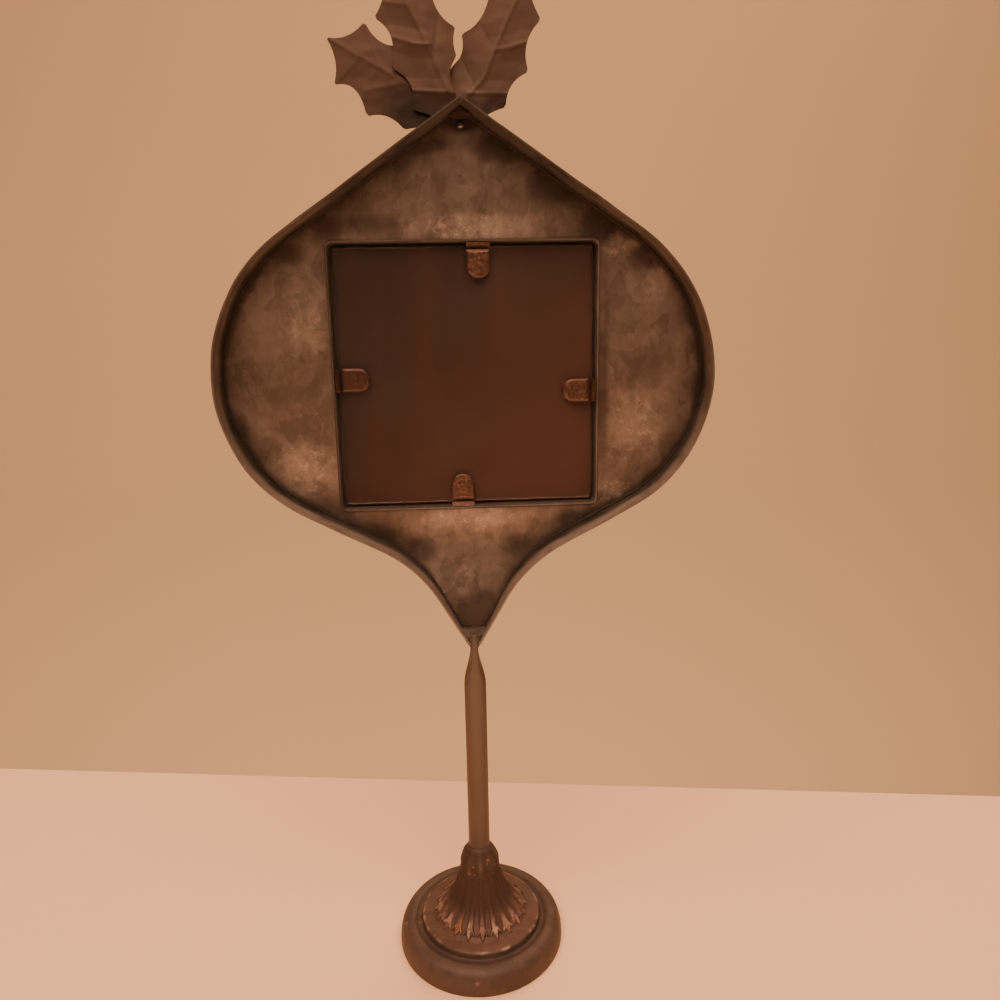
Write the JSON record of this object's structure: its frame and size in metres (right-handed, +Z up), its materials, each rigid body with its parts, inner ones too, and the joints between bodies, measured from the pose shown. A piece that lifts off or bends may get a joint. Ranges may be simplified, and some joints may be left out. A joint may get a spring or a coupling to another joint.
{
  "type": "picture frame",
  "caption": "Ornament-shaped metal picture frame: a square glazed tray with bend-over tabs in a rimmed sheet, holly leaves at the point, on a tube stem and a round cast base.",
  "frame": {"origin": "centre of the base, on the surface it stands on", "axes": "+Z up along the stem, -Y towards the front of the picture, +X to the right as seen from the front"},
  "size_m": [0.193, 0.0738, 0.4002],
  "materials": {
    "cast_base": "satin brown coat, worn on the petals",
    "stem_steel": "satin brown coat",
    "rim_steel": "dull, darkened",
    "galvanised_sheet": "mottled zinc spangle, darkened along the solder",
    "solder": "dull",
    "tab_copper": "wrinkled",
    "leaf_steel": "satin brown coat over pressed sheet",
    "zinc": "bright",
    "pane": "clear",
    "insert_paper": "matte dark brown",
    "hardboard": "bare hardboard"
  },
  "bodies": {
    "frame": {"base_casting": "cast_base", "base_washer": "zinc", "base_screw": "zinc", "stem_plug": "zinc", "stem_tube": "stem_steel", "rim_left": "rim_steel", "rim_right": "rim_steel", "neck_weld": "solder", "apex_weld": "solder", "front_panel": "galvanised_sheet", "photo_tray": "rim_steel", "glass_pane": "pane", "photo_insert": "insert_paper", "backing_board": "hardboard", "tab_root_top": "tab_copper", "tab_root_right": "tab_copper", "tab_root_bottom": "tab_copper", "tab_root_left": "tab_copper", "leaf_middle": "leaf_steel", "leaf_left": "leaf_steel", "leaf_right": "leaf_steel", "leaf_rivet": "zinc"},
    "top_tab": {"tab_top": "tab_copper"},
    "right_tab": {"tab_right": "tab_copper"},
    "bottom_tab": {"tab_bottom": "tab_copper"},
    "left_tab": {"tab_left": "tab_copper"}
  },
  "joints": [
    {"name": "top_tab_bend", "type": "hinge", "parent": "frame", "child": "top_tab", "pos_m": [0.0056, 0.0079, 0.30334], "axis": [-1, 0, 0], "range_deg": [0, 95]},
    {"name": "right_tab_bend", "type": "hinge", "parent": "frame", "child": "right_tab", "pos_m": [0.0497, 0.0079, 0.24804], "axis": [0, 0, 1], "range_deg": [0, 95]},
    {"name": "bottom_tab_bend", "type": "hinge", "parent": "frame", "child": "bottom_tab", "pos_m": [-0.0027, 0.0079, 0.20394], "axis": [1, 0, 0], "range_deg": [0, 95]},
    {"name": "left_tab_bend", "type": "hinge", "parent": "frame", "child": "left_tab", "pos_m": [-0.0497, 0.0079, 0.25384], "axis": [0, 0, -1], "range_deg": [0, 95]}
  ]
}
